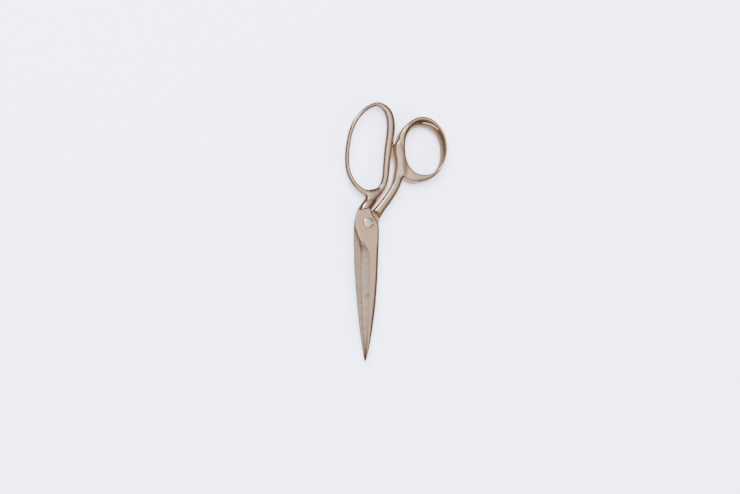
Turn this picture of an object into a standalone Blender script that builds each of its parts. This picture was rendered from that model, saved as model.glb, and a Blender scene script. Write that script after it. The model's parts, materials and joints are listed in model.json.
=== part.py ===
"""Seven-inch bent-handle shears: two forged levers that turn on one screw.

Row frame, in metres: the shears lie flat on their back, closed. +Y runs from the pivot
to the bows, the tips point to -Y, +X is the thumb bow's side and +Z faces the front,
where the finger lever and the screw's head are. The origin is on the pivot's axis, at
the flat end of the screw, which touches the surface that the shears lie on.

All lengths below are in millimetres and become metres where a mesh is made.
"""
import math

import bmesh
import bpy
import numpy as np

MM = 0.001
UP = 1.0
DOWN = -1.0

# Pivot and layers
RIDE_Z = 6.2            # height of the plane where the two blades ride on each other
RIDE_GAP = 0.15         # each lever stays this far from that plane
BOSS_THICK = 3.6        # lever thickness round the pivot
FACE_Z = RIDE_GAP + BOSS_THICK
FIT_GAP = 0.3           # clearance between a fastener and what it holds
RELIEF_RADIUS = 9.7     # a shank is only half as deep inside this circle
SHOULDER_RADIUS = 10.3  # the outer faces are ground flat inside this circle
UNION_STEP = 0.05       # keeps joined faces from lying in one plane
FAR = 20.0              # half the length of a cutter that runs right through

# Screw and nut
SCREW_RADIUS = 2.5
SCREW_END_EDGE = 0.3
HEAD_RADIUS = 3.6
HEAD_RIM = 0.8
HEAD_CROWN = 0.55
CROWN_SHARES = (0.9, 0.7, 0.45, 0.2)  # shares of the head's radius where the crown has a ring
SLOT_HALF = 6.0         # half the slot cutter's length, longer than the head's radius
SLOT_WIDTH = 0.7
SLOT_DEPTH = 0.6
NUT_FLATS = 7.5
NUT_CORNERS = 6
NUT_EDGE = 0.25

# Bows
FINGER_BOW_Z = 6.4
THUMB_BOW_Z = 5.5
THUMB_BOW_DEPTH = 11.0
THUMB_CENTRE = (40.1, 53.7)
THUMB_HALF_WIDTH = 13.45
THUMB_HALF_HEIGHT = 17.35
THUMB_ROUNDNESS = 2.25  # 2 is an ellipse, more is squarer
OVAL_POWER = 0.88       # 1 is an ellipse, less is squarer

# Mesh density
FINGER_BOW_STEPS = 64
THUMB_BOW_STEPS = 60
SHANK_STEPS = 20
BLADE_STEPS = 30
SECTION_SIDES = 14
ROUND_SIDES = 48
SHARP_ANGLE = 35.0

# Finger bow, counter-clockwise from the neck: centre x, y, width across, depth front to back
FINGER_BOW = (
    (5.0, 21.0, 5.6, 5.6),
    (10.3, 25.3, 5.2, 5.4),
    (12.9, 32.6, 4.9, 5.2),
    (13.8, 42.0, 5.1, 5.2),
    (15.1, 53.5, 5.6, 5.2),
    (16.7, 64.0, 5.9, 5.2),
    (16.9, 73.4, 5.9, 5.2),
    (14.5, 80.7, 5.3, 5.0),
    (8.0, 84.9, 3.5, 4.8),
    (0.0, 81.8, 3.0, 4.8),
    (-7.6, 73.7, 3.1, 4.8),
    (-12.1, 63.0, 3.0, 4.8),
    (-14.3, 49.0, 3.0, 4.8),
    (-13.6, 37.0, 3.1, 4.8),
    (-9.4, 28.4, 3.2, 4.9),
    (-3.0, 22.8, 4.0, 5.2),
)

# Finger shank, from inside the bow's foot to the pivot: centre x, y, width, depth
FINGER_SHANK = (
    (5.2, 20.9, 7.6, 5.4),
    (3.6, 18.2, 8.2, 6.8),
    (1.4, 14.9, 8.0, 8.4),
    (-1.5, 10.8, 8.4, 9.4),
    (-3.2, 6.5, 9.0, 9.6),
)

# Thumb bow: wall thickness every 30 degrees, counter-clockwise from +X
THUMB_WALL = (3.6, 4.2, 5.3, 6.8, 5.2, 5.2, 6.6, 6.6, 8.4, 4.7, 2.6, 2.6)

# Thumb bow sections: share of the wall from the hole outwards, share of the half depth.
# The hole flares where the thumb comes in, and its rim stands up on the other side.
THUMB_FLARE_TURN = 0.75     # direction of the flare, from +X
THUMB_FLARE = (
    (0.00, -0.25),
    (0.10, 0.20),
    (0.30, 0.58),
    (0.55, 0.86),
    (0.78, 1.00),
    (0.94, 0.86),
    (1.00, 0.50),
    (1.00, 0.00),
    (1.00, -0.45),
    (0.92, -0.82),
    (0.72, -1.00),
    (0.42, -0.94),
    (0.14, -0.68),
)
THUMB_ROLL = (
    (0.00, 0.10),
    (0.00, 0.62),
    (0.05, 0.90),
    (0.18, 1.00),
    (0.45, 0.90),
    (0.72, 0.74),
    (0.92, 0.52),
    (1.00, 0.10),
    (1.00, -0.40),
    (0.92, -0.80),
    (0.70, -1.00),
    (0.36, -0.96),
    (0.06, -0.62),
)

# Thumb shank, from the stop that meets the finger bow to the pivot: centre x, y, width, depth
THUMB_SHANK = (
    (19.3, 56.6, 1.2, 3.0),
    (20.6, 54.6, 3.8, 5.8),
    (21.8, 50.5, 5.5, 8.6),
    (22.6, 45.0, 5.4, 9.4),
    (22.4, 37.5, 6.2, 9.4),
    (20.9, 29.6, 6.4, 8.8),
    (17.4, 22.4, 6.2, 8.0),
    (13.3, 16.3, 6.3, 8.0),
    (9.4, 11.0, 6.6, 8.2),
    (5.4, 5.7, 7.8, 8.4),
)

# Blades and tangs: y, x on the cutting side, x on the spine side, thickness,
# share of the width that the bevel takes, thickness left on the cutting side
FINGER_BLADE = (
    (9.0, -6.7, 2.6, 3.6, 0.05, 3.45),
    (6.5, -8.0, 3.4, 3.6, 0.05, 3.45),
    (3.5, -8.6, 5.2, 3.6, 0.05, 3.45),
    (0.5, -8.8, 7.2, 3.6, 0.05, 3.45),
    (-3.0, -8.6, 7.9, 3.6, 0.05, 3.45),
    (-7.0, -7.6, 7.9, 3.6, 0.06, 3.40),
    (-11.0, -6.1, 7.85, 3.6, 0.09, 3.20),
    (-15.0, -4.9, 7.8, 3.55, 0.22, 2.20),
    (-20.0, -4.4, 7.7, 3.5, 0.40, 0.60),
    (-27.0, -4.3, 7.5, 3.4, 0.47, 0.30),
    (-40.0, -4.2, 7.0, 3.1, 0.48, 0.25),
    (-60.0, -3.6, 5.4, 2.6, 0.50, 0.25),
    (-76.0, -2.8, 3.2, 2.1, 0.52, 0.25),
    (-88.0, -2.0, 0.9, 1.6, 0.54, 0.25),
    (-95.0, -1.5, -0.9, 1.0, 0.55, 0.25),
)
THUMB_BLADE = (
    (9.0, 11.4, 0.6, 3.6, 0.05, 3.45),
    (6.5, 10.0, -5.6, 3.6, 0.05, 3.45),
    (3.5, 9.0, -7.9, 3.6, 0.05, 3.45),
    (0.5, 8.3, -8.7, 3.6, 0.05, 3.45),
    (-3.0, 7.7, -8.9, 3.6, 0.05, 3.45),
    (-7.0, 6.7, -8.9, 3.6, 0.06, 3.40),
    (-11.0, 5.4, -8.85, 3.6, 0.09, 3.20),
    (-15.0, 4.4, -8.8, 3.55, 0.22, 2.20),
    (-20.0, 3.9, -8.75, 3.5, 0.40, 0.60),
    (-27.0, 3.8, -8.7, 3.4, 0.47, 0.30),
    (-40.0, 3.4, -8.0, 3.1, 0.48, 0.25),
    (-60.0, 2.2, -6.4, 2.6, 0.50, 0.25),
    (-76.0, 0.9, -4.7, 2.1, 0.52, 0.25),
    (-88.0, -0.4, -2.9, 1.6, 0.54, 0.25),
    (-95.0, -1.1, -1.7, 1.0, 0.55, 0.25),
)
SPINE_CHAMFER = 2.2     # width of the sloping strip beside the spine
SPINE_DROP = 0.35       # share of the thickness that the strip falls
STRIP_SHARE = 0.3       # most of a narrow blade's width that the strip takes

NICKEL = (0.62, 0.53, 0.46, 1.0)
NICKEL_ROUGHNESS = 0.18
SCREW_STEEL = (0.66, 0.58, 0.50, 1.0)
STEEL_ROUGHNESS = 0.22


# ---------------------------------------------------------------- curves and sections

def spline(rows, steps, closed):
    """Points on a Catmull-Rom curve through the rows, which may have any number of columns."""
    rows = np.array(rows, dtype=float)
    if closed:
        padded = np.vstack([rows[-1:], rows, rows[:2]])
        spans = len(rows)
    else:
        first = 2.0 * rows[0] - rows[1]
        last = 2.0 * rows[-1] - rows[-2]
        padded = np.vstack([first, rows, last])
        spans = len(rows) - 1
    result = []
    for place in np.linspace(0.0, spans, steps, endpoint=not closed):
        span = min(int(place), spans - 1)
        t = place - span
        a, b, c, d = padded[span:span + 4]
        result.append(0.5 * (2.0 * b + (c - a) * t + (2.0 * a - 5.0 * b + 4.0 * c - d) * t ** 2
                             + (3.0 * b - a - 3.0 * c + d) * t ** 3))
    return np.array(result)


def in_plane_normals(points, closed):
    """Unit normals in the XY plane, to the right of the direction of travel."""
    if closed:
        tangents = np.roll(points, -1, axis=0) - np.roll(points, 1, axis=0)
    else:
        tangents = np.gradient(points, axis=0)
    tangents /= np.linalg.norm(tangents, axis=1)[:, None]
    return np.column_stack([tangents[:, 1], -tangents[:, 0]])


def oval_section(width, depth, sides):
    """Points round a slightly squared oval: offset across, offset in depth."""
    angles = np.arange(sides) * 2.0 * math.pi / sides
    across = np.sign(np.cos(angles)) * np.abs(np.cos(angles)) ** OVAL_POWER * width / 2.0
    upward = np.sign(np.sin(angles)) * np.abs(np.sin(angles)) ** OVAL_POWER * depth / 2.0
    return np.column_stack([across, upward])


def blade_section(row, side):
    """Six corners of a blade's section, from the ride face's cutting side round to its spine."""
    y, cut_x, spine_x, thick, bevel_share, edge_thick = row
    spine_side = math.copysign(1.0, spine_x - cut_x)
    width = abs(spine_x - cut_x)
    ridge_x = cut_x + spine_side * bevel_share * width
    chamfer = min(SPINE_CHAMFER, STRIP_SHARE * width)
    corners = (
        (cut_x, 0.0),
        (cut_x, edge_thick),
        (ridge_x, thick),
        (spine_x - spine_side * chamfer, thick),
        (spine_x, thick * (1.0 - SPINE_DROP)),
        (spine_x, 0.0),
    )
    return [(x, y, RIDE_Z + side * (RIDE_GAP + z)) for x, z in corners]


# ---------------------------------------------------------------- mesh makers

def make_object(name, mesh, material=None):
    """An object for a finished bmesh, with its faces turned outwards."""
    bmesh.ops.recalc_face_normals(mesh, faces=mesh.faces)
    data = bpy.data.meshes.new(name)
    mesh.to_mesh(data)
    mesh.free()
    piece = bpy.data.objects.new(name, data)
    bpy.context.scene.collection.objects.link(piece)
    if material:
        data.materials.append(material)
    return piece


def make_helper(name, mesh):
    """An object that only shapes another one."""
    helper = make_object(name, mesh)
    helper.hide_render = True
    helper.display_type = "WIRE"
    return helper


def skin_rings(rings, closed):
    """A mesh over rings of points in millimetres, capped at both ends unless it closes."""
    mesh = bmesh.new()
    grid = [[mesh.verts.new(np.array(point) * MM) for point in ring] for ring in rings]
    count = len(grid)
    sides = len(grid[0])
    for i in range(count if closed else count - 1):
        here = grid[i]
        there = grid[(i + 1) % count]
        for j in range(sides):
            k = (j + 1) % sides
            mesh.faces.new((here[j], here[k], there[k], there[j]))
    if not closed:
        mesh.faces.new(grid[0])
        mesh.faces.new(grid[-1])
    return mesh


def skin_bar(rows, steps, mid_z, closed=False):
    """A bar with an oval section swept along a curve in the XY plane."""
    path = spline(rows, steps, closed)
    normals = in_plane_normals(path[:, :2], closed)
    rings = []
    for (x, y, width, depth), (nx, ny) in zip(path, normals):
        section = oval_section(width, depth, SECTION_SIDES)
        rings.append([(x + nx * a, y + ny * a, mid_z + b) for a, b in section])
    return skin_rings(rings, closed)


def skin_blade(rows, side):
    """A blade with its tang. The side is UP for a front lever and DOWN for a back lever."""
    sections = spline(rows, BLADE_STEPS, closed=False)
    return skin_rings([blade_section(row, side) for row in sections], closed=False)


def turned(profile, sides, turn=0.0):
    """A solid turned about the Z axis from a profile of radius and height, bottom to top."""
    rings = []
    for radius, z in profile:
        angles = turn + np.arange(sides) * 2.0 * math.pi / sides
        rings.append([(radius * math.cos(a), radius * math.sin(a), z) for a in angles])
    return skin_rings(rings, closed=False)


def box_mesh(size, centre):
    """A box in millimetres."""
    mesh = bmesh.new()
    bmesh.ops.create_cube(mesh, size=1.0)
    bmesh.ops.scale(mesh, vec=np.array(size) * MM, verts=mesh.verts)
    bmesh.ops.translate(mesh, vec=np.array(centre) * MM, verts=mesh.verts)
    return mesh


def combine(piece, operation, other):
    """Join another object to a piece, or cut it out."""
    modifier = piece.modifiers.new(other.name, "BOOLEAN")
    modifier.operation = operation
    modifier.solver = "EXACT"
    modifier.object = other


def shade(piece):
    """Smooth shading with the steep edges sharp."""
    piece.data.shade_smooth()
    piece.data.set_sharp_from_angle(angle=math.radians(SHARP_ANGLE))


# ---------------------------------------------------------------- parts

def metal(name, colour, roughness):
    """A metal with the part's colour."""
    material = bpy.data.materials.new(name)
    material.use_nodes = True
    shader = material.node_tree.nodes["Principled BSDF"]
    shader.inputs["Base Color"].default_value = colour
    shader.inputs["Metallic"].default_value = 1.0
    shader.inputs["Roughness"].default_value = roughness
    return material


def thumb_bow_mesh():
    """The thumb bow, its hole flared on one side and its rim standing up on the other."""
    walls = spline([(wall,) for wall in THUMB_WALL], THUMB_BOW_STEPS, closed=True)[:, 0]
    rings = []
    for i, wall in enumerate(walls):
        angle = i * 2.0 * math.pi / THUMB_BOW_STEPS
        ux, uy = math.cos(angle), math.sin(angle)
        hole = (abs(ux / THUMB_HALF_WIDTH) ** THUMB_ROUNDNESS
                + abs(uy / THUMB_HALF_HEIGHT) ** THUMB_ROUNDNESS) ** (-1.0 / THUMB_ROUNDNESS)
        flared = 0.5 + 0.5 * math.sin(math.pi / 2.0 * math.cos(angle - THUMB_FLARE_TURN))
        section = flared * np.array(THUMB_FLARE) + (1.0 - flared) * np.array(THUMB_ROLL)
        ring = []
        for wall_share, depth_share in section:
            radius = hole + wall_share * wall
            z = THUMB_BOW_Z + depth_share * THUMB_BOW_DEPTH / 2.0
            ring.append((THUMB_CENTRE[0] + radius * ux, THUMB_CENTRE[1] + radius * uy, z))
        rings.append(ring)
    return skin_rings(rings, closed=True)


def ground_shank(name, rows, side):
    """A shank cut away where the other lever passes and ground flat on its outer face."""
    shank = make_helper(name, skin_bar(rows, SHANK_STEPS, RIDE_Z))
    inner_z = RIDE_Z + side * (RIDE_GAP + UNION_STEP)
    outer_z = RIDE_Z + side * (FACE_Z - UNION_STEP)
    cuts = (
        ("relief", RELIEF_RADIUS, inner_z, RIDE_Z - side * FAR),
        ("shoulder", SHOULDER_RADIUS, outer_z, RIDE_Z + side * FAR),
    )
    for label, radius, near_z, far_z in cuts:
        low, high = sorted((near_z, far_z))
        cutter = turned(((radius, low), (radius, high)), ROUND_SIDES)
        combine(shank, "DIFFERENCE", make_helper(f"{name}_{label}", cutter))
    return shank


def pivot_bore(name):
    """The hole for the screw, with running clearance."""
    radius = SCREW_RADIUS + FIT_GAP
    return make_helper(name, turned(((radius, -FAR), (radius, FAR)), ROUND_SIDES))


def finger_lever(material):
    """The front lever: a long loop for the fingers and the blade whose spine is on the right."""
    lever = make_object("finger_lever", skin_blade(FINGER_BLADE, UP), material)
    bow = skin_bar(FINGER_BOW, FINGER_BOW_STEPS, FINGER_BOW_Z, closed=True)
    combine(lever, "UNION", ground_shank("finger_shank", FINGER_SHANK, UP))
    combine(lever, "UNION", make_helper("finger_bow", bow))
    combine(lever, "DIFFERENCE", pivot_bore("finger_bore"))
    shade(lever)
    return lever


def thumb_lever(material):
    """The back lever: a flared ring for the thumb and the blade whose spine is on the left."""
    lever = make_object("thumb_lever", skin_blade(THUMB_BLADE, DOWN), material)
    combine(lever, "UNION", ground_shank("thumb_shank", THUMB_SHANK, DOWN))
    combine(lever, "UNION", make_helper("thumb_bow", thumb_bow_mesh()))
    combine(lever, "DIFFERENCE", pivot_bore("thumb_bore"))
    shade(lever)
    return lever


def pivot_screw(material):
    """A slotted screw with a low crowned head on the front and a flat end at the back."""
    seat_z = RIDE_Z + FACE_Z + FIT_GAP
    rim_z = seat_z + HEAD_RIM
    crown_z = rim_z + HEAD_CROWN
    profile = [
        (SCREW_RADIUS - SCREW_END_EDGE, 0.0),
        (SCREW_RADIUS, SCREW_END_EDGE),
        (SCREW_RADIUS, seat_z),
        (HEAD_RADIUS, seat_z),
        (HEAD_RADIUS, rim_z),
    ]
    for share in CROWN_SHARES:
        profile.append((HEAD_RADIUS * share, rim_z + HEAD_CROWN * math.sqrt(1.0 - share ** 2)))
    screw = make_object("pivot_screw", turned(profile, ROUND_SIDES), material)
    slot = box_mesh((2.0 * SLOT_HALF, SLOT_WIDTH, 2.0 * SLOT_DEPTH), (0.0, 0.0, crown_z))
    combine(screw, "DIFFERENCE", make_helper("screw_slot", slot))
    shade(screw)
    return screw


def lock_nut(material):
    """A thin hexagonal nut behind the thumb lever that keeps the blades' tension."""
    radius = NUT_FLATS / math.sqrt(3.0)
    low = FIT_GAP
    high = RIDE_Z - FACE_Z - FIT_GAP
    profile = (
        (radius - NUT_EDGE, low),
        (radius, low + NUT_EDGE),
        (radius, high - NUT_EDGE),
        (radius - NUT_EDGE, high),
    )
    nut = make_object("lock_nut", turned(profile, NUT_CORNERS), material)
    combine(nut, "DIFFERENCE", pivot_bore("nut_bore"))
    return nut


def pivot_axis():
    """An empty on the pivot's axis, at the origin."""
    axis = bpy.data.objects.new("pivot_axis", None)
    bpy.context.scene.collection.objects.link(axis)
    return axis


def main():
    for old in list(bpy.data.objects):
        bpy.data.objects.remove(old, do_unlink=True)
    nickel = metal("polished_nickel", NICKEL, NICKEL_ROUGHNESS)
    steel = metal("screw_steel", SCREW_STEEL, STEEL_ROUGHNESS)
    axis = pivot_axis()
    finger_lever(nickel).parent = axis
    thumb_lever(nickel)
    pivot_screw(steel)
    lock_nut(steel)


main()
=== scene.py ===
"""The looks of the bent-handle shears: fine forged levers, screw and nut, in worn nickel plate.

Shapes are worked out in millimetres from the pivot, as the CAD levers are, and become metres
where a mesh is made. +Y runs to the bows, -Y to the tips, +Z to the screw's head.
"""
import json
import math

import bmesh
import bpy
import numpy as np
from mathutils import Matrix, Vector

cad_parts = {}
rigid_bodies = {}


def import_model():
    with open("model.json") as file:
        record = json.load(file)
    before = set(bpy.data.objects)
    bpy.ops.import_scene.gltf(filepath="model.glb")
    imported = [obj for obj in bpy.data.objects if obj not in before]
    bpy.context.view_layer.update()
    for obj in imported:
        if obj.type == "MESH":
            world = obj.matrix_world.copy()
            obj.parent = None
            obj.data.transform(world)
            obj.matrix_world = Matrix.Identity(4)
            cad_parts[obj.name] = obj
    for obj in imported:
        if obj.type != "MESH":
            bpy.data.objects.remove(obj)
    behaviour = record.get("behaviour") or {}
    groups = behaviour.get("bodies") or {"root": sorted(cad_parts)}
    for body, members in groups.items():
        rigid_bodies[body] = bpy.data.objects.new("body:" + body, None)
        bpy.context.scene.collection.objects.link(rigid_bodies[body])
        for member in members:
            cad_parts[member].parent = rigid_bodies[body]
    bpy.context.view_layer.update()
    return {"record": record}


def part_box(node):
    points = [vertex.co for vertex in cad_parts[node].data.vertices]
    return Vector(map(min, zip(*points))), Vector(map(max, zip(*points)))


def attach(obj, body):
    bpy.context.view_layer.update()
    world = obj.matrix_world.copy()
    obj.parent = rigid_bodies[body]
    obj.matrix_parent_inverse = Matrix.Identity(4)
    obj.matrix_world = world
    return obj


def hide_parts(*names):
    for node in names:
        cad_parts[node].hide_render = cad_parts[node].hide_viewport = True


MM = 0.001
UP = 1.0
DOWN = -1.0

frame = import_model()
pivot_joint = frame["record"]["behaviour"]["joints"][0]
FIXED_BODY = pivot_joint["parent"]
MOVING_BODY = pivot_joint["child"]

# Pivot and layers, as in the CAD
RIDE_Z = pivot_joint["pos_m"][2] / MM
RIDE_GAP = 0.15
BOSS_THICK = 3.6
FACE_Z = RIDE_GAP + BOSS_THICK
FIT_GAP = 0.3
UNION_STEP = 0.05
FAR = 20.0

# What is ground away round the pivot, as radius of the flat, radius of the cove, lean of the wall
RELIEF = (9.7, 0.5, 0.12)
SHOULDER = (9.6, 0.8, 0.8)

# Bows
THUMB_LOW, THUMB_HIGH = (corner[2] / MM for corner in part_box("thumb_lever"))
THUMB_BOW_SWELL = 0.24  # how far the curve through its section's points swells past them
THUMB_BOW_DEPTH = THUMB_HIGH - THUMB_LOW - 2.0 * THUMB_BOW_SWELL
THUMB_BOW_Z = (THUMB_LOW + THUMB_HIGH) / 2.0
FINGER_BOW_Z = RIDE_Z + 0.2
THUMB_CENTRE = (40.1, 53.7)
THUMB_HALF_WIDTH = 13.45
THUMB_HALF_HEIGHT = 17.35
THUMB_ROUNDNESS = 2.25
OVAL_POWER = 2.25       # 2 is a plain oval, more is squarer
FLAT_POWER = 3.0        # the thumb shank's section, which has a flatter face
FINGER_FILLET = 2.6     # how softly a bow flows into its shank
THUMB_FILLET = 3.6

# Fineness
SKIN_SIZE = 0.42     # edge length of the forged surfaces
BUFF_ROUNDS = 8        # rounds of smoothing over them
BUFF_FACTOR = 0.5
PATH_STEPS = 14         # per row of a path
WALL_STEPS = 720        # round the thumb bow
BLADE_STEPS = 120
SECTION_STEPS = 84
ROUND_SIDES = 96
ROUGH_STEPS = 160       # along the rough solids, and round and in their sections
ROUGH_SIDES = 20
ROUGH_SECTION_STEPS = 30
COVE_POINTS = 8

# How points settle on a field
CHUNK = 4000            # points worked out at a time
SETTLE_ROUNDS = 3
SETTLE_MOST = 0.9       # the farthest that a point moves in one round
SLOPE_REACH = 0.01      # how far apart a field is read for its slope
SLOPE_LEAST = 0.2       # a flatter slope, squared, counts as this
TINY = 1e-9

# Finger bow, counter-clockwise from the neck: centre x, y, width across, depth front to back
FINGER_BOW = (
    (5.0, 21.0, 5.6, 5.6),
    (10.3, 25.3, 5.2, 5.4),
    (12.9, 32.6, 4.9, 5.2),
    (13.8, 42.0, 5.1, 5.2),
    (15.1, 53.5, 5.6, 5.2),
    (16.7, 64.0, 5.9, 5.2),
    (16.9, 73.4, 5.9, 5.2),
    (14.5, 80.7, 5.3, 5.0),
    (8.0, 84.9, 3.5, 4.8),
    (0.0, 81.8, 3.0, 4.8),
    (-7.6, 73.7, 3.1, 4.8),
    (-12.1, 63.0, 3.0, 4.8),
    (-14.3, 49.0, 3.0, 4.8),
    (-13.6, 37.0, 3.1, 4.8),
    (-9.4, 28.4, 3.2, 4.9),
    (-3.0, 22.8, 4.0, 5.2),
)

# Finger shank, from inside the bow's foot to the pivot: centre x, y, width, depth
FINGER_SHANK = (
    (5.2, 20.9, 7.6, 5.4),
    (3.6, 18.2, 8.2, 6.8),
    (1.4, 14.9, 8.0, 8.4),
    (-1.5, 10.8, 8.4, 9.4),
    (-3.2, 6.5, 9.0, 9.6),
)

# Thumb bow: wall thickness every 30 degrees, counter-clockwise from +X
THUMB_WALL = (3.6, 4.2, 5.3, 6.8, 5.4, 5.8, 6.6, 6.6, 8.4, 4.7, 2.6, 2.6)

# Thumb bow sections: share of the wall from the hole outwards, share of the half depth.
# The hole flares on the far side from the shank, and the wall has a flat face beside it.
THUMB_FLARE_TURN = 0.75     # direction of the flare, from +X
THUMB_FLARE = (
    (0.00, -0.25),
    (0.10, 0.20),
    (0.30, 0.58),
    (0.55, 0.86),
    (0.78, 1.00),
    (0.94, 0.86),
    (1.00, 0.50),
    (1.00, 0.00),
    (1.00, -0.45),
    (0.92, -0.82),
    (0.72, -1.00),
    (0.42, -0.94),
    (0.14, -0.68),
)
THUMB_ROLL = (
    (0.00, 0.20),
    (0.00, 0.72),
    (0.05, 0.91),
    (0.18, 0.96),
    (0.50, 0.94),
    (0.80, 0.88),
    (0.95, 0.68),
    (1.00, 0.40),
    (1.00, -0.30),
    (0.93, -0.80),
    (0.70, -1.00),
    (0.36, -0.96),
    (0.06, -0.62),
)

# Thumb shank, from the stop that meets the finger bow to the pivot: centre x, y, width, depth
THUMB_SHANK = (
    (19.3, 56.6, 1.2, 3.0),
    (20.6, 54.6, 3.8, 5.2),
    (21.8, 50.5, 5.5, 6.4),
    (22.6, 45.0, 5.4, 7.0),
    (22.4, 37.5, 6.2, 7.8),
    (20.9, 29.6, 6.4, 8.2),
    (17.4, 22.4, 6.2, 8.0),
    (13.3, 16.3, 6.3, 8.0),
    (9.4, 11.0, 6.6, 8.2),
    (5.4, 5.7, 7.8, 8.4),
)

# Blades and tangs: y, x on the cutting side, x on the spine side, thickness,
# share of the width that the bevel takes, thickness left on the cutting side
FINGER_BLADE = (
    (9.0, -6.7, 2.6, 3.6, 0.05, 3.45),
    (6.5, -8.0, 3.4, 3.6, 0.05, 3.45),
    (3.5, -8.6, 5.2, 3.6, 0.05, 3.45),
    (0.5, -8.8, 7.2, 3.6, 0.05, 3.45),
    (-3.0, -8.6, 7.9, 3.6, 0.05, 3.45),
    (-7.0, -7.6, 7.9, 3.6, 0.06, 3.40),
    (-11.0, -6.1, 7.85, 3.6, 0.09, 3.20),
    (-15.0, -4.9, 7.8, 3.55, 0.22, 2.20),
    (-20.0, -4.4, 7.7, 3.5, 0.40, 0.60),
    (-27.0, -4.3, 7.5, 3.4, 0.47, 0.30),
    (-40.0, -4.2, 7.0, 3.1, 0.48, 0.25),
    (-60.0, -3.6, 5.4, 2.6, 0.50, 0.25),
    (-76.0, -2.8, 3.2, 2.1, 0.52, 0.25),
    (-88.0, -2.0, 0.9, 1.6, 0.54, 0.25),
    (-95.0, -1.5, -0.9, 1.0, 0.55, 0.25),
)
THUMB_BLADE = (
    (9.0, 11.4, 0.6, 3.6, 0.05, 3.45),
    (6.5, 10.0, -5.6, 3.6, 0.05, 3.45),
    (3.5, 9.0, -7.9, 3.6, 0.05, 3.45),
    (0.5, 8.3, -8.7, 3.6, 0.05, 3.45),
    (-3.0, 7.7, -8.9, 3.6, 0.05, 3.45),
    (-7.0, 6.7, -8.9, 3.6, 0.06, 3.40),
    (-11.0, 5.4, -8.85, 3.6, 0.09, 3.20),
    (-15.0, 4.4, -8.8, 3.55, 0.22, 2.20),
    (-20.0, 3.9, -8.75, 3.5, 0.40, 0.60),
    (-27.0, 3.8, -8.7, 3.4, 0.47, 0.30),
    (-40.0, 3.4, -8.0, 3.1, 0.48, 0.25),
    (-60.0, 2.2, -6.4, 2.6, 0.50, 0.25),
    (-76.0, 0.9, -4.7, 2.1, 0.52, 0.25),
    (-88.0, -0.4, -2.9, 1.6, 0.54, 0.25),
    (-95.0, -1.1, -1.7, 1.0, 0.55, 0.25),
)
SPINE_ROUND = 2.4       # width of the rounded strip beside the spine
BOSS_ROUND = 1.6        # and beside the pivot
ROUND_SHARE = 0.32      # most of a narrow blade's width that it takes
ROUND_FALL = 0.72       # most of the thickness that it takes
ROUND_TURN = math.radians(66.0)
ROUND_POINTS = 8
BOSS_END_Y = -9.0
BLADE_START_Y = -20.0
CORNER = 0.16           # how much the ground corners are eased
CORNER_SHARE = 0.3      # most of the edge's thickness that it takes
HOLLOW = 0.10           # depth of the hollow in the bevel
HOLLOW_FULL = 0.4       # share of the width at which a bevel is hollowed in full
HOLLOW_POINTS = 6

# Screw and nut
SCREW_RADIUS = 2.5
SCREW_END_EDGE = 0.3
HEAD_RADIUS = 3.6
HEAD_RIM = 0.8
HEAD_CROWN = 0.55
HEAD_EDGE = 0.22
HEAD_EDGE_TURNS = (0.25, 0.5, 0.75, 1.0)                    # shares of a right angle
CROWN_SHARES = (0.9, 0.8, 0.66, 0.5, 0.33, 0.16, 0.03)      # shares of the head's radius
SLOT_WIDTH = 0.7
SLOT_DEPTH = 0.6
SLOT_EDGE = 0.1
SLOT_MOUTH = 0.35       # where the slot widens, as a share of the crown's height
SLOT_REACH = 1.5        # length of the slot's cutter each way, in head radii
NUT_SIDES = 6
NUT_FLATS = 7.5
NUT_EDGE = 0.35
NUT_EDGE_RISE = 1.5     # how steeply its corners are turned down

# Finishes, in linear light
NICKEL = (0.58, 0.44, 0.34)
NICKEL_DEEP = (0.46, 0.335, 0.25)
NICKEL_PALE = (0.70, 0.56, 0.46)
NICKEL_EDGE = (0.66, 0.58, 0.52, 1.0)   # tint where the surface turns away
GROUND = (0.44, 0.36, 0.29)
GROUND_DEEP = (0.27, 0.21, 0.165)
STEEL = (0.86, 0.75, 0.65)
GRIME = (0.10, 0.08, 0.06)
GROUND_FROM_Y = -13.0   # a bevel is ground from here to the tips
TANG_END_Y = 9.5        # and the ride face from here
RIDE_MARGIN = 0.1       # how near to the ride face its surface lies
BEVEL_LEAN = 0.03       # how much a bevel leans towards its cutting edge
SHARP_ANGLE = math.radians(28.0)
SCRATCH_STRETCH = 90.0  # length of a hairline, in widths
SCRATCH_PATCH = 70.0    # size of the patches that hold hairlines
SCRATCH_PATCH_FROM = 0.48
SCRATCH_PATCH_TO = 0.60
SCRATCH_EDGE = 0.03
GRIND_TURN = 0.12       # lean of the grinding lines

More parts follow.
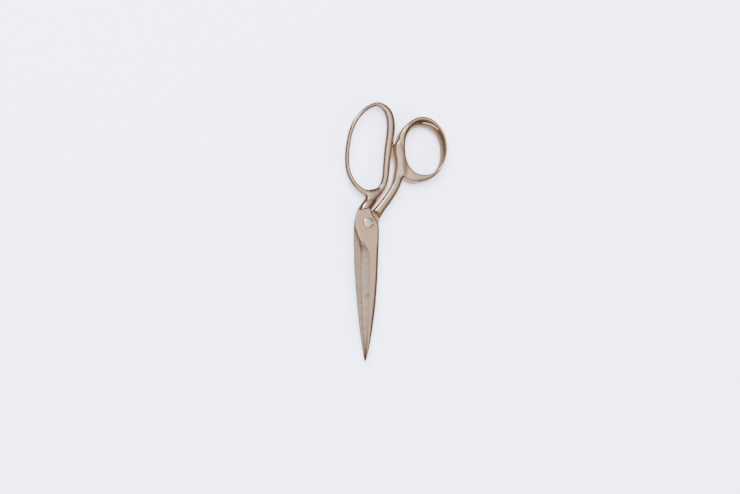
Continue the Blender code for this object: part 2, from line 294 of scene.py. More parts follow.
# Camera and light
CAMERA_LEAN_X = math.radians(15.0)
CAMERA_LEAN_Y = math.radians(11.0)
CAMERA_DISTANCE = 1.70
CAMERA_LENS = 120.0
CAMERA_SENSOR = 36.0
CAMERA_CLIP_END = 20.0
CAMERA_AIM = (2.1, -16.0)
SWEEP = (2.6, 0.7, 3.4)     # the floor's flat radius, the radius of its sweep, the wall's height
SWEEP_POINTS = 12
FLOOR_HUB = 0.6
FLOOR_GAP = 0.0001
FLOOR = (0.80, 0.84, 1.0, 1.0)
FLOOR_ROUGHNESS = 0.9
FLOOR_GLOSS = 0.1
CEILING_AXIS = (-0.28, 0.08, 1.0)       # the way to the brightest part of the room
ROOM_STRENGTH = 2.4
ROOM = (                # height in the room from straight down to straight up, colour there
    (-1.00, (0.85, 0.88, 0.95, 1.0)),
    (-0.80, (0.55, 0.52, 0.52, 1.0)),
    (-0.55, (0.42, 0.38, 0.36, 1.0)),
    (-0.25, (0.30, 0.26, 0.23, 1.0)),
    (-0.05, (0.060, 0.050, 0.044, 1.0)),
    (0.25, (0.046, 0.038, 0.034, 1.0)),
    (0.50, (0.13, 0.112, 0.10, 1.0)),
    (0.76, (0.38, 0.34, 0.31, 1.0)),
    (0.93, (0.80, 0.74, 0.68, 1.0)),
    (1.00, (0.92, 0.85, 0.79, 1.0)),
)
SOFT_BOXES = (          # name, place, size, power, colour, whether the metal mirrors it
    ("overhead", (-0.5, 0.5, 2.2), (2.0, 2.0), 240.0, (0.99, 0.99, 1.0), False),
    ("side", (1.6, -1.2, 1.6), (1.4, 1.4), 90.0, (0.96, 0.98, 1.0), False),
    ("window", (-0.75, 1.25, 1.1), (0.5, 0.7), 14.0, (1.0, 0.96, 0.90), True),
    ("low", (-0.35, -1.6, 0.16), (2.4, 0.85), 13.0, (1.0, 0.88, 0.77), True),
)


# ---------------------------------------------------------------- curves and sections

def spline(rows, steps, closed):
    """Points on a Catmull-Rom curve through the rows, which may have any number of columns."""
    rows = np.array(rows, dtype=float)
    if closed:
        padded = np.vstack([rows[-1:], rows, rows[:2]])
        spans = len(rows)
    else:
        first = 2.0 * rows[0] - rows[1]
        last = 2.0 * rows[-1] - rows[-2]
        padded = np.vstack([first, rows, last])
        spans = len(rows) - 1
    result = []
    for place in np.linspace(0.0, spans, steps, endpoint=not closed):
        span = min(int(place), spans - 1)
        t = place - span
        a, b, c, d = padded[span:span + 4]
        result.append(0.5 * (2.0 * b + (c - a) * t + (2.0 * a - 5.0 * b + 4.0 * c - d) * t ** 2
                             + (3.0 * b - a - 3.0 * c + d) * t ** 3))
    return np.array(result)


def in_plane_normals(points, closed):
    """Unit normals in the XY plane, to the right of the direction of travel."""
    if closed:
        tangents = np.roll(points, -1, axis=0) - np.roll(points, 1, axis=0)
    else:
        tangents = np.gradient(points, axis=0)
    tangents /= np.linalg.norm(tangents, axis=1)[:, None]
    return np.column_stack([tangents[:, 1], -tangents[:, 0]])


def hole_radius(angle):
    """Distance from the thumb bow's centre to its hole's waist."""
    across = np.abs(np.cos(angle) / THUMB_HALF_WIDTH) ** THUMB_ROUNDNESS
    along = np.abs(np.sin(angle) / THUMB_HALF_HEIGHT) ** THUMB_ROUNDNESS
    return (across + along) ** (-1.0 / THUMB_ROUNDNESS)


def flare_share(angle):
    """One where the thumb bow's hole flares, zero where its face is flat."""
    return 0.5 + 0.5 * np.sin(math.pi / 2.0 * np.cos(angle - THUMB_FLARE_TURN))


# ---------------------------------------------------------------- distance fields

class Bar:
    """The field of a bar with an oval section swept along a curve in the XY plane."""

    def __init__(self, rows, mid_z, closed, power=OVAL_POWER):
        self.power = power
        path = spline(rows, PATH_STEPS * len(rows), closed)
        if closed:
            path = np.vstack([path, path[:1]])
        self.start = path[:-1]
        self.step = path[1:] - path[:-1]
        self.length2 = (self.step[:, :2] ** 2).sum(axis=1)
        self.mid_z = mid_z

    def __call__(self, points):
        result = np.empty(len(points))
        for low in range(0, len(points), CHUNK):
            result[low:low + CHUNK] = self.some(points[low:low + CHUNK])
        return result

    def some(self, points):
        offset = points[:, None, :2] - self.start[None, :, :2]
        t = (offset * self.step[None, :, :2]).sum(axis=2) / self.length2
        t = np.clip(t, 0.0, 1.0)
        gap = offset - t[:, :, None] * self.step[None, :, :2]
        gap2 = (gap ** 2).sum(axis=2)
        nearest = gap2.argmin(axis=1)
        rows = np.arange(len(points))
        place = self.start[nearest] + t[rows, nearest][:, None] * self.step[nearest]
        across = np.sqrt(gap2[rows, nearest]) / (place[:, 2] / 2.0)
        upward = np.abs(points[:, 2] - self.mid_z) / (place[:, 3] / 2.0)
        size = (across ** self.power + upward ** self.power) ** (1.0 / self.power)
        return (size - 1.0) * np.minimum(place[:, 2], place[:, 3]) / 2.0


class ThumbRing:
    """The field of the flared thumb bow."""

    def __init__(self):
        walls = [(wall,) for wall in THUMB_WALL]
        self.walls = spline(walls, WALL_STEPS, closed=True)[:, 0]
        self.angles = np.arange(WALL_STEPS) * 2.0 * math.pi / WALL_STEPS
        self.flare = spline(THUMB_FLARE, SECTION_STEPS, closed=True)
        self.roll = spline(THUMB_ROLL, SECTION_STEPS, closed=True)

    def wall(self, angle):
        turn = 2.0 * math.pi
        return np.interp(angle % turn, self.angles, self.walls, period=turn)

    def __call__(self, points):
        offset = points[:, :2] - np.array(THUMB_CENTRE)
        angle = np.arctan2(offset[:, 1], offset[:, 0])
        out = np.linalg.norm(offset, axis=1) - hole_radius(angle)
        place = np.column_stack([out, points[:, 2] - THUMB_BOW_Z])
        result = np.empty(len(points))
        wall = self.wall(angle)
        for low in range(0, len(points), CHUNK):
            part = slice(low, low + CHUNK)
            half_depth = np.full(len(wall[part]), THUMB_BOW_DEPTH / 2.0)
            scale = np.column_stack([wall[part], half_depth])
            share = flare_share(angle[part])[:, None, None]
            section = share * self.flare + (1.0 - share) * self.roll
            outline = section * scale[:, None, :]
            result[part] = outline_distance(place[part], outline)
        return result


def outline_distance(points, outlines):
    """Signed distance of each point to its own closed outline, negative inside."""
    ends = np.roll(outlines, -1, axis=1)
    step = ends - outlines
    offset = points[:, None, :] - outlines
    t = np.clip((offset * step).sum(axis=2) / (step ** 2).sum(axis=2), 0.0, 1.0)
    distance = np.linalg.norm(offset - t[:, :, None] * step, axis=2).min(axis=1)
    height = points[:, None, 1]
    crosses = (outlines[:, :, 1] > height) != (ends[:, :, 1] > height)
    rise = np.where(step[:, :, 1] == 0.0, 1.0, step[:, :, 1])
    crossing_x = outlines[:, :, 0] + (height - outlines[:, :, 1]) * step[:, :, 0] / rise
    right_of = crosses & (points[:, None, 0] < crossing_x)
    inside = right_of.sum(axis=1) % 2 == 1
    return np.where(inside, -distance, distance)


def smooth_union(fields, fillet):
    """One field that joins two with a fillet."""
    def joined(points):
        first = fields[0](points)
        second = fields[1](points)
        share = np.maximum(fillet - np.abs(first - second), 0.0) / fillet
        return np.minimum(first, second) - share ** 2 * fillet / 4.0
    return joined


def settle_on(field, points):
    """Points moved along the slope until they lie where the field is zero."""
    for _ in range(SETTLE_ROUNDS):
        value = field(points)
        nearby = [field(points + SLOPE_REACH * axis) for axis in np.eye(3)]
        slope = np.column_stack([(there - value) / SLOPE_REACH for there in nearby])
        size2 = np.maximum((slope ** 2).sum(axis=1), SLOPE_LEAST)
        move = -(value / size2)[:, None] * slope
        length = np.linalg.norm(move, axis=1)
        move *= np.minimum(1.0, SETTLE_MOST / np.maximum(length, TINY))[:, None]
        points = points + move
    return points


# ---------------------------------------------------------------- mesh makers

def link(name, mesh):
    """An object for a finished bmesh, with its faces turned outwards."""
    bmesh.ops.recalc_face_normals(mesh, faces=mesh.faces)
    data = bpy.data.meshes.new(name)
    mesh.to_mesh(data)
    mesh.free()
    piece = bpy.data.objects.new(name, data)
    bpy.context.scene.collection.objects.link(piece)
    return piece


def skin_rings(rings, closed, mesh=None):
    """A mesh over rings of points in millimetres, capped at both ends unless it closes."""
    mesh = mesh or bmesh.new()
    grid = [[mesh.verts.new(np.array(point) * MM) for point in ring] for ring in rings]
    count = len(grid)
    sides = len(grid[0])
    for i in range(count if closed else count - 1):
        here = grid[i]
        there = grid[(i + 1) % count]
        for j in range(sides):
            k = (j + 1) % sides
            mesh.faces.new((here[j], here[k], there[k], there[j]))
    if not closed:
        mesh.faces.new(grid[0])
        mesh.faces.new(grid[-1])
    return mesh


def oval_section(width, depth, sides):
    """Points round a slightly squared oval: offset across, offset in depth."""
    angles = np.arange(sides) * 2.0 * math.pi / sides
    power = 2.0 / OVAL_POWER
    across = np.sign(np.cos(angles)) * np.abs(np.cos(angles)) ** power * width / 2.0
    upward = np.sign(np.sin(angles)) * np.abs(np.sin(angles)) ** power * depth / 2.0
    return np.column_stack([across, upward])


def skin_bar(rows, mid_z, closed, mesh):
    """A plain bar swept along its curve, as a start for the fine surface."""
    path = spline(rows, ROUGH_STEPS, closed)
    normals = in_plane_normals(path[:, :2], closed)
    rings = []
    for (x, y, width, depth), (nx, ny) in zip(path, normals):
        section = oval_section(width, depth, ROUGH_SIDES)
        rings.append([(x + nx * a, y + ny * a, mid_z + b) for a, b in section])
    return skin_rings(rings, closed, mesh)


def skin_thumb_ring(mesh):
    """A plain thumb bow, as a start for the fine surface."""
    ring_field = ThumbRing()
    flare = spline(THUMB_FLARE, ROUGH_SECTION_STEPS, closed=True)
    roll = spline(THUMB_ROLL, ROUGH_SECTION_STEPS, closed=True)
    centre_x, centre_y = THUMB_CENTRE
    rings = []
    for angle in np.arange(ROUGH_STEPS) * 2.0 * math.pi / ROUGH_STEPS:
        radius = hole_radius(angle)
        wall = ring_field.wall(angle)
        share = flare_share(angle)
        ring = []
        for wall_share, depth_share in share * flare + (1.0 - share) * roll:
            out = radius + wall_share * wall
            z = THUMB_BOW_Z + depth_share * THUMB_BOW_DEPTH / 2.0
            ring.append((centre_x + out * math.cos(angle), centre_y + out * math.sin(angle), z))
        rings.append(ring)
    return skin_rings(rings, True, mesh)


def applied(piece):
    """The piece with its modifiers applied."""
    evaluated = piece.evaluated_get(bpy.context.evaluated_depsgraph_get())
    data = bpy.data.meshes.new_from_object(evaluated)
    piece.modifiers.clear()
    old = piece.data
    piece.data = data
    bpy.data.meshes.remove(old)
    return piece


def forged(name, rough_mesh, field):
    """A fine, even skin over overlapping rough solids, settled on their smooth field."""
    rough = link(name, rough_mesh)
    remesh = rough.modifiers.new("skin", "REMESH")
    remesh.mode = "VOXEL"
    remesh.voxel_size = SKIN_SIZE * MM
    applied(rough)
    data = rough.data
    flat = np.empty(len(data.vertices) * 3, dtype=np.float32)
    data.vertices.foreach_get("co", flat)
    points = settle_on(field, flat.reshape(-1, 3).astype(float) / MM)
    data.vertices.foreach_set("co", (points * MM).astype(np.float32).ravel())
    data.update()
    buffed = rough.modifiers.new("buffed", "SMOOTH")
    buffed.factor = BUFF_FACTOR
    buffed.iterations = BUFF_ROUNDS
    return applied(rough)


def circle(radius, z, sides):
    """Points on a level circle about the Z axis."""
    angles = np.arange(sides) * 2.0 * math.pi / sides
    return [(radius * math.cos(angle), radius * math.sin(angle), z) for angle in angles]


def turned(profile, sides):
    """A solid turned about the Z axis from a profile of radius and height, bottom to top."""
    return skin_rings([circle(radius, z, sides) for radius, z in profile], closed=False)


def combine(piece, operation, other):
    """A Boolean of a piece with another object, which is then removed."""
    modifier = piece.modifiers.new("combine", "BOOLEAN")
    modifier.operation = operation
    modifier.solver = "MANIFOLD"
    modifier.object = other
    applied(piece)
    bpy.data.objects.remove(other, do_unlink=True)
    return piece


def blade_section(row, side):
    """The section of a blade: flat ride face, hollow bevel, flat outer face, rounded spine."""
    y, cut_x, spine_x, thick, bevel_share, edge_thick = row
    spine_side = math.copysign(1.0, spine_x - cut_x)
    width = abs(spine_x - cut_x)
    ridge_x = cut_x + spine_side * bevel_share * width
    near_boss = np.clip((y - BLADE_START_Y) / (BOSS_END_Y - BLADE_START_Y), 0.0, 1.0)
    near_boss = near_boss ** 2 * (3.0 - 2.0 * near_boss)
    wanted = SPINE_ROUND + (BOSS_ROUND - SPINE_ROUND) * near_boss
    strip = min(wanted, ROUND_SHARE * width + near_boss * width)
    radius = strip / math.sin(ROUND_TURN)
    fall = radius * (1.0 - math.cos(ROUND_TURN))
    squash = min(1.0, ROUND_FALL * thick / fall)
    ease = min(CORNER, CORNER_SHARE * edge_thick)
    points = [(cut_x + spine_side * ease, 0.0), (cut_x, ease), (cut_x, edge_thick - ease)]
    hollow = HOLLOW * min(1.0, bevel_share / HOLLOW_FULL) * (thick - edge_thick) / thick
    start = np.array([cut_x, edge_thick])
    end = np.array([ridge_x, thick])
    for share in (np.arange(HOLLOW_POINTS) + 1.0) / (HOLLOW_POINTS + 1.0):
        place = start + (end - start) * share
        points.append(place - np.array([0.0, 4.0 * hollow * share * (1.0 - share)]))
    points.append(end)
    for turn in np.linspace(0.0, ROUND_TURN, ROUND_POINTS):
        x = spine_x - spine_side * (strip - radius * math.sin(turn))
        points.append((x, thick - squash * radius * (1.0 - math.cos(turn))))
    points.append((spine_x, CORNER))
    points.append((spine_x - spine_side * CORNER, 0.0))
    return [(x, y, RIDE_Z + side * (RIDE_GAP + z)) for x, z in points]


def skin_blade(rows, side):
    """A blade with its tang. The side is UP for a front lever and DOWN for a back lever."""
    sections = spline(rows, BLADE_STEPS, closed=False)
    return skin_rings([blade_section(row, side) for row in sections], closed=False)


# ---------------------------------------------------------------- levers

def cutter(shape, near_z, side):
    """A cutter with a flat end, a cove round it and a wall that leans outwards."""
    flat, cove, lean = shape
    profile = []
    for turn in np.linspace(0.0, math.pi / 2.0, COVE_POINTS):
        rise = cove * (1.0 - math.cos(turn))
        profile.append((flat + cove * math.sin(turn), near_z + side * rise))
    profile.append((flat + cove + lean * FAR, near_z + side * (cove + FAR)))
    return link("cutter", turned(profile, ROUND_SIDES))


def grind(handle, side):
    """Cut a handle away where the other lever passes, and flat on its outer face."""
    combine(handle, "DIFFERENCE", cutter(RELIEF, RIDE_Z + side * (RIDE_GAP + UNION_STEP), -side))
    combine(handle, "DIFFERENCE", cutter(SHOULDER, RIDE_Z + side * (FACE_Z - UNION_STEP), side))


def lever(name, handle, blade_rows, side):
    """A handle and its blade in one piece, bored for the screw."""
    grind(handle, side)
    combine(handle, "UNION", link("blade", skin_blade(blade_rows, side)))
    radius = SCREW_RADIUS + FIT_GAP
    bore = turned(((radius, -FAR), (radius, FAR)), ROUND_SIDES)
    combine(handle, "DIFFERENCE", link("bore", bore))
    handle.name = name
    return finished(handle)


def finished(piece):
    """Smooth shading that keeps the sharp edges."""
    piece.data.shade_smooth()
    piece.data.set_sharp_from_angle(angle=SHARP_ANGLE)
    weighted = piece.modifiers.new("weighted_normals", "WEIGHTED_NORMAL")
    weighted.keep_sharp = True
    return piece


def finger_lever():
    """The front lever: long finger bow, shank and blade."""
    mesh = bmesh.new()
    skin_bar(FINGER_BOW, FINGER_BOW_Z, True, mesh)
    skin_bar(FINGER_SHANK, RIDE_Z, False, mesh)
    fields = (Bar(FINGER_BOW, FINGER_BOW_Z, True), Bar(FINGER_SHANK, RIDE_Z, False))
    handle = forged("finger_handle", mesh, smooth_union(fields, FINGER_FILLET))
    return lever("finger_lever_fine", handle, FINGER_BLADE, UP)


def thumb_lever():
    """The back lever: flared thumb bow, shank with its stop, and blade."""
    mesh = bmesh.new()
    skin_thumb_ring(mesh)
    skin_bar(THUMB_SHANK, RIDE_Z, False, mesh)
    fields = (ThumbRing(), Bar(THUMB_SHANK, RIDE_Z, False, FLAT_POWER))
    handle = forged("thumb_handle", mesh, smooth_union(fields, THUMB_FILLET))
    return lever("thumb_lever_fine", handle, THUMB_BLADE, DOWN)


# ---------------------------------------------------------------- screw and nut

def bevelled_slot(centre_z):
    """A cutter for the screw's slot, a little wider at its mouth."""
    half = SLOT_WIDTH / 2.0
    mouth = centre_z - HEAD_CROWN * SLOT_MOUTH
    section = (
        (-half, centre_z - SLOT_DEPTH),
        (half, centre_z - SLOT_DEPTH),
        (half, mouth),
        (half + 2.0 * SLOT_EDGE, mouth + 2.0 * SLOT_EDGE + HEAD_CROWN),
        (-half - 2.0 * SLOT_EDGE, mouth + 2.0 * SLOT_EDGE + HEAD_CROWN),
        (-half, mouth),
    )
    reach = SLOT_REACH * HEAD_RADIUS
    rings = [[(x, y, z) for y, z in section] for x in (-reach, reach)]
    return link("cutter", skin_rings(rings, closed=False))


def pivot_screw():
    """A slotted screw with a low crowned head."""
    seat = RIDE_Z + FACE_Z + FIT_GAP
    rim = seat + HEAD_RIM
    profile = [
        (SCREW_RADIUS - SCREW_END_EDGE, 0.0),
        (SCREW_RADIUS, SCREW_END_EDGE),
        (SCREW_RADIUS, seat),
        (HEAD_RADIUS - HEAD_EDGE, seat),
        (HEAD_RADIUS, seat + HEAD_EDGE),
        (HEAD_RADIUS, rim - HEAD_EDGE),
    ]
    for turn in np.array(HEAD_EDGE_TURNS) * math.pi / 2.0:
        inward = HEAD_EDGE * (1.0 - math.cos(turn))
        profile.append((HEAD_RADIUS - inward, rim - HEAD_EDGE * (1.0 - math.sin(turn))))
    for share in CROWN_SHARES:
        profile.append((HEAD_RADIUS * share, rim + HEAD_CROWN * (1.0 - share ** 2)))
    screw = link("pivot_screw_fine", turned(profile, ROUND_SIDES))
    combine(screw, "DIFFERENCE", bevelled_slot(rim + HEAD_CROWN))
    return finished(screw)


def lock_nut():
    """A thin hexagonal nut, its corners turned down at both faces."""
    corner = NUT_FLATS / math.sqrt(3.0)
    low = FIT_GAP
    high = RIDE_Z - FACE_Z - FIT_GAP
    nut = link("lock_nut_fine", turned(((corner, low), (corner, high)), NUT_SIDES))
    flat = NUT_FLATS / 2.0
    rise = NUT_EDGE * NUT_EDGE_RISE
    cone = (
        (flat - NUT_EDGE / 2.0, low),
        (corner + NUT_EDGE / 2.0, low + rise),
        (corner + NUT_EDGE / 2.0, high - rise),
        (flat - NUT_EDGE / 2.0, high),
    )
    combine(nut, "INTERSECT", link("cutter", turned(cone, ROUND_SIDES)))
    radius = SCREW_RADIUS + FIT_GAP
    bore = ((radius + 2.0 * NUT_EDGE, low - NUT_EDGE), (radius, low + NUT_EDGE), (radius, FAR))
    combine(nut, "DIFFERENCE", link("cutter", turned(bore, ROUND_SIDES)))
    return finished(nut)


# ---------------------------------------------------------------- materials

class Metal:
    """A worn metal, built up of node layers in the piece's own coordinates."""

    def __init__(self, name, colour, roughness):
        self.material = bpy.data.materials.new(name)
        self.material.use_nodes = True
        self.tree = self.material.node_tree
        self.shader = self.tree.nodes["Principled BSDF"]
        self.shader.inputs["Metallic"].default_value = 1.0
        self.shader.inputs["Specular Tint"].default_value = NICKEL_EDGE
        self.place = self.node("TexCoord").outputs["Object"]
        self.colour = self.rgb(colour)
        self.rough = self.value(roughness)
        self.normal = None

    def node(self, kind, **settings):
        made = self.tree.nodes.new("ShaderNode" + kind)
        for key, value in settings.items():
            setattr(made, key, value)
        return made

    def rgb(self, colour):
        made = self.node("RGB")
        made.outputs[0].default_value = (*colour, 1.0)
        return made.outputs[0]

    def value(self, number):
        made = self.node("Value")
        made.outputs[0].default_value = number
        return made.outputs[0]

    def link(self, source, target):
        self.tree.links.new(source, target)

    def stretched(self, scale, turn=0.0):
        """The piece's coordinates, scaled along each axis and turned about Z."""
        mapping = self.node("Mapping")
        mapping.inputs["Rotation"].default_value = (0.0, 0.0, turn)
        mapping.inputs["Scale"].default_value = scale
        self.link(self.place, mapping.inputs["Vector"])
        return mapping.outputs["Vector"]

    def noise(self, vector, scale=1.0, detail=3.0, distortion=0.0):
        made = self.node("TexNoise")
        made.inputs["Scale"].default_value = scale
        made.inputs["Detail"].default_value = detail
        made.inputs["Distortion"].default_value = distortion
        self.link(vector, made.inputs["Vector"])
        return made.outputs["Fac"]

    def band(self, source, low, high, top=1.0):
        """Zero below low, top above high."""
        made = self.node("MapRange", clamp=True)
        made.inputs["From Min"].default_value = low
        made.inputs["From Max"].default_value = high
        made.inputs["To Max"].default_value = top
        self.link(source, made.inputs["Value"])
        return made.outputs["Result"]

    def maths(self, operation, first, second):
        """A sum on two sources, either of which may be a plain number."""
        made = self.node("Math", operation=operation)
        for socket, source in zip(made.inputs, (first, second)):
            if isinstance(source, float):
                socket.default_value = source
            else:
                self.link(source, socket)
        return made.outputs[0]

    def tint(self, mask, colour):
        """Lay a colour over the metal where the mask is."""
        made = self.node("Mix", data_type="RGBA")
        self.link(mask, made.inputs["Factor"])
        self.link(self.colour, made.inputs["A"])
        made.inputs["B"].default_value = (*colour, 1.0)
        self.colour = made.outputs["Result"]

    def roughen(self, mask, amount):
        """Make the metal duller where the mask is."""
        self.rough = self.maths("ADD", self.rough, self.maths("MULTIPLY", mask, amount))

    def bump(self, height, strength, distance):
        """Raise the surface with the height, or sink it if the distance is negative."""
        made = self.node("Bump")
        made.inputs["Strength"].default_value = strength
        made.inputs["Distance"].default_value = distance
        self.link(height, made.inputs["Height"])
        if self.normal:
            self.link(self.normal, made.inputs["Normal"])
        self.normal = made.outputs["Normal"]

    def scratches(self, turn, across, share):
        """Long thin hairlines in one direction, in patches: a mask that is nearly all zero."""
        along = across / SCRATCH_STRETCH
        field = self.noise(self.stretched((across, along, along), turn), detail=1.0)
        blots = self.noise(self.stretched((SCRATCH_PATCH,) * 3, turn), detail=1.0)
        patch = self.band(blots, SCRATCH_PATCH_FROM, SCRATCH_PATCH_TO)
        return self.maths("MULTIPLY", self.band(field, share, share + SCRATCH_EDGE), patch)

    def finish(self):
        """Join the layers to the shader."""
        self.link(self.colour, self.shader.inputs["Base Color"])
        self.link(self.rough, self.shader.inputs["Roughness"])
        if self.normal:
            self.link(self.normal, self.shader.inputs["Normal"])
        return self.material


def worn_nickel():
    """Polished nickel plate gone warm with age: clouds, handling marks, hairlines and pits."""
    metal = Metal("worn_nickel", NICKEL, roughness=0.10)
    even = metal.stretched((1.0, 1.0, 1.0))
    clouds = metal.noise(even, scale=55.0, detail=4.0, distortion=0.6)
    metal.tint(metal.band(clouds, low=0.42, high=0.72, top=0.55), NICKEL_DEEP)
    pale = metal.noise(even, scale=23.0, detail=2.0)
    metal.tint(metal.band(pale, low=0.50, high=0.80, top=0.5), NICKEL_PALE)
    smudges = metal.noise(even, scale=130.0, detail=5.0, distortion=1.4)
    metal.roughen(metal.band(smudges, low=0.52, high=0.70), amount=0.09)
    grain = metal.noise(even, scale=900.0, detail=3.0)
    metal.roughen(metal.band(grain, low=0.35, high=0.75), amount=0.05)
    specks = metal.noise(even, scale=1500.0, detail=2.0)
    pits = metal.band(specks, low=0.70, high=0.76)
    metal.tint(metal.maths("MULTIPLY", pits, 0.7), GRIME)
    metal.roughen(pits, amount=0.25)
    marks = metal.scratches(turn=0.35, across=4200.0, share=0.66)
    for turn in (-0.5, 1.2):
        more = metal.scratches(turn, across=3600.0, share=0.67)
        marks = metal.maths("MAXIMUM", marks, more)
    metal.tint(metal.maths("MULTIPLY", marks, 0.25), NICKEL_PALE)
    metal.roughen(marks, amount=0.16)
    metal.bump(marks, strength=0.08, distance=-0.00001)
    waves = metal.noise(even, scale=300.0, detail=2.0)
    metal.bump(waves, strength=0.06, distance=0.00005)
    metal.bump(pits, strength=0.4, distance=-0.00003)
    return metal.finish()


def ground_steel():
    """A blade's ground face: fine lines across the blade, and darker than the plate."""
    metal = Metal("ground_steel", GROUND, roughness=0.17)
    lines = metal.noise(metal.stretched((160.0, 5200.0, 160.0), GRIND_TURN), detail=2.0)
    broad = metal.noise(metal.stretched((60.0, 900.0, 60.0), GRIND_TURN), detail=2.0)
    metal.tint(metal.band(broad, low=0.40, high=0.75, top=0.45), GROUND_DEEP)
    metal.tint(metal.band(lines, low=0.52, high=0.70, top=0.35), NICKEL_PALE)
    metal.roughen(metal.band(lines, low=0.40, high=0.70), amount=0.12)
    even = metal.stretched((1.0, 1.0, 1.0))
    blots = metal.noise(even, scale=75.0, detail=5.0, distortion=1.0)
    stain = metal.band(blots, low=0.56, high=0.72)
    metal.tint(metal.maths("MULTIPLY", stain, 0.5), GRIME)
    metal.roughen(stain, amount=0.10)
    metal.bump(lines, strength=0.35, distance=0.00002)
    metal.bump(broad, strength=0.12, distance=0.00004)
    return metal.finish()


def turned_steel():
    """The screw's and nut's bright steel, with turning rings and a dark film in places."""
    metal = Metal("turned_steel", STEEL, roughness=0.13)
    rings = metal.node("TexWave", wave_type="RINGS", rings_direction="Z")
    rings.inputs["Scale"].default_value = 1500.0
    rings.inputs["Distortion"].default_value = 1.2
    rings.inputs["Detail"].default_value = 2.0
    metal.link(metal.place, rings.inputs["Vector"])
    ring = rings.outputs["Fac"]
    even = metal.stretched((1.0, 1.0, 1.0))
    blots = metal.noise(even, scale=420.0, detail=4.0, distortion=0.8)
    film = metal.band(blots, low=0.50, high=0.72)
    metal.tint(metal.maths("MULTIPLY", film, 0.45), GRIME)
    metal.roughen(film, amount=0.14)
    metal.roughen(ring, amount=0.06)
    metal.bump(ring, strength=0.25, distance=0.00001)
    marks = metal.scratches(turn=0.9, across=3800.0, share=0.66)
    metal.roughen(marks, amount=0.15)
    metal.bump(marks, strength=0.2, distance=-0.00002)
    return metal.finish()


def pour_finish(piece, plate, ground, side):
    """The plate everywhere, and the ground finish on a blade's flats."""
    data = piece.data
    data.materials.clear()
    data.materials.append(plate)
    data.materials.append(ground)
    for face in data.polygons:
        y = face.center.y / MM
        from_ride = abs(face.center.z / MM - RIDE_Z)
        on_ride = from_ride < RIDE_GAP + RIDE_MARGIN and y < TANG_END_Y
        off_ride = from_ride > RIDE_GAP + RIDE_MARGIN and y < GROUND_FROM_Y
        bevel = off_ride and face.normal.x * side < -BEVEL_LEAN
        face.material_index = 1 if on_ride or bevel else 0


# ---------------------------------------------------------------- stage

def floor():
    """A pale table whose far edge sweeps up to a wall all round."""
    flat, sweep, height = SWEEP
    profile = [(FLOOR_HUB, 0.0), (flat, 0.0)]
    for turn in np.linspace(0.0, math.pi / 2.0, SWEEP_POINTS)[1:]:
        profile.append((flat + sweep * math.sin(turn), sweep * (1.0 - math.cos(turn))))
    profile.append((flat + sweep, height))
    mesh = bmesh.new()
    rings = []
    for radius, z in profile:
        rings.append([mesh.verts.new(point) for point in circle(radius, z, ROUND_SIDES)])
    mesh.faces.new(rings[0])
    for here, there in zip(rings, rings[1:]):
        for j in range(ROUND_SIDES):
            k = (j + 1) % ROUND_SIDES
            mesh.faces.new((here[j], here[k], there[k], there[j]))
    table = link("floor", mesh)
    table.data.shade_smooth()
    table.location.z = -FLOOR_GAP
    table.visible_glossy = False
    material = bpy.data.materials.new("pale_floor")
    material.use_nodes = True
    shader = material.node_tree.nodes["Principled BSDF"]
    shader.inputs["Base Color"].default_value = FLOOR
    shader.inputs["Roughness"].default_value = FLOOR_ROUGHNESS
    shader.inputs["Specular IOR Level"].default_value = FLOOR_GLOSS
    table.data.materials.append(material)


def soft_light(name, place, size, power, colour, mirrored):
    """A soft box that faces the shears, seen in the metal only if it is mirrored."""
    data = bpy.data.lights.new(name, "AREA")
    data.shape = "RECTANGLE"
    data.size, data.size_y = size
    data.energy = power
    data.color = colour
    lamp = bpy.data.objects.new(name, data)
    lamp.location = place
    lamp.rotation_euler = (-Vector(place)).to_track_quat("-Z", "Y").to_euler()
    lamp.visible_glossy = mirrored
    bpy.context.scene.collection.objects.link(lamp)


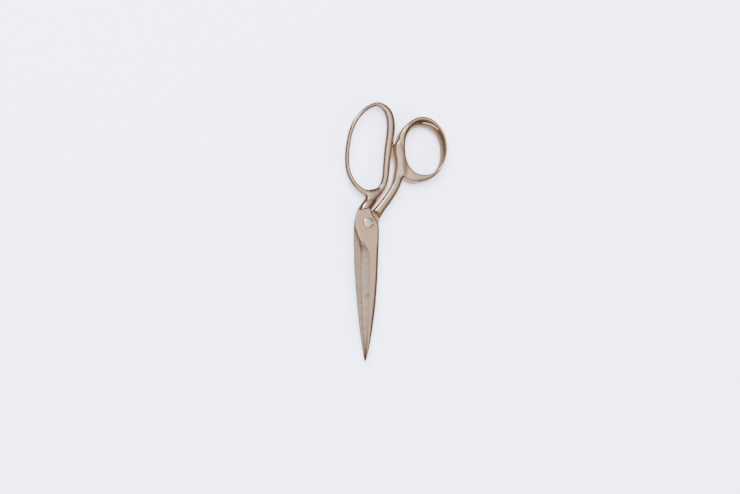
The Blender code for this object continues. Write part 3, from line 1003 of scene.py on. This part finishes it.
def lights():
    """A pale ceiling that falls off to a dim room, and soft boxes round the table."""
    world = bpy.data.worlds.new("studio")
    bpy.context.scene.world = world
    world.use_nodes = True
    tree = world.node_tree
    coordinates = tree.nodes.new("ShaderNodeTexCoord")
    height = tree.nodes.new("ShaderNodeVectorMath")
    height.operation = "DOT_PRODUCT"
    height.inputs[1].default_value = Vector(CEILING_AXIS).normalized()
    share = tree.nodes.new("ShaderNodeMapRange")
    share.inputs["From Min"].default_value = -1.0
    ramp = tree.nodes.new("ShaderNodeValToRGB")
    tree.links.new(coordinates.outputs["Generated"], height.inputs[0])
    tree.links.new(height.outputs["Value"], share.inputs["Value"])
    tree.links.new(share.outputs["Result"], ramp.inputs["Fac"])
    tree.links.new(ramp.outputs["Color"], tree.nodes["Background"].inputs["Color"])
    tree.nodes["Background"].inputs["Strength"].default_value = ROOM_STRENGTH
    stops = ramp.color_ramp.elements
    while len(stops) > 1:
        stops.remove(stops[-1])
    for i, (level, colour) in enumerate(ROOM):
        stop = stops[0] if i == 0 else stops.new((level + 1.0) / 2.0)
        stop.position = (level + 1.0) / 2.0
        stop.color = colour
    for soft_box in SOFT_BOXES:
        soft_light(*soft_box)


def camera():
    """Looks down the photograph's line of sight, with +Y upright in the picture."""
    away = Vector((-math.tan(CAMERA_LEAN_X), -math.tan(CAMERA_LEAN_Y), 1.0)).normalized()
    middle = Vector((0.0, 0.0, RIDE_Z * MM))
    place = middle + away * CAMERA_DISTANCE
    aim = middle + Vector((CAMERA_AIM[0] * MM, CAMERA_AIM[1] * MM, 0.0))
    back = (place - aim).normalized()
    right = Vector((0.0, 1.0, 0.0)).cross(back).normalized()
    upward = back.cross(right)
    data = bpy.data.cameras.new("camera")
    data.lens = CAMERA_LENS
    data.sensor_width = CAMERA_SENSOR
    data.clip_end = CAMERA_CLIP_END
    eye = bpy.data.objects.new("camera", data)
    facing = Matrix((right, upward, back)).transposed().to_4x4()
    eye.matrix_world = Matrix.Translation(place) @ facing
    bpy.context.scene.collection.objects.link(eye)
    bpy.context.scene.camera = eye


# ---------------------------------------------------------------- build

plate = worn_nickel()
ground = ground_steel()
steel = turned_steel()
pieces = (
    (finger_lever(), "finger_lever", MOVING_BODY, "polished_nickel"),
    (thumb_lever(), "thumb_lever", FIXED_BODY, "polished_nickel"),
    (pivot_screw(), "pivot_screw", FIXED_BODY, "screw_steel"),
    (lock_nut(), "lock_nut", FIXED_BODY, "screw_steel"),
)
for piece, node, body, slot in pieces:
    if slot == "polished_nickel":
        pour_finish(piece, plate, ground, UP if node == "finger_lever" else DOWN)
    else:
        piece.data.materials.clear()
        piece.data.materials.append(steel)
    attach(piece, body)
    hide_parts(node)
floor()
lights()
camera()
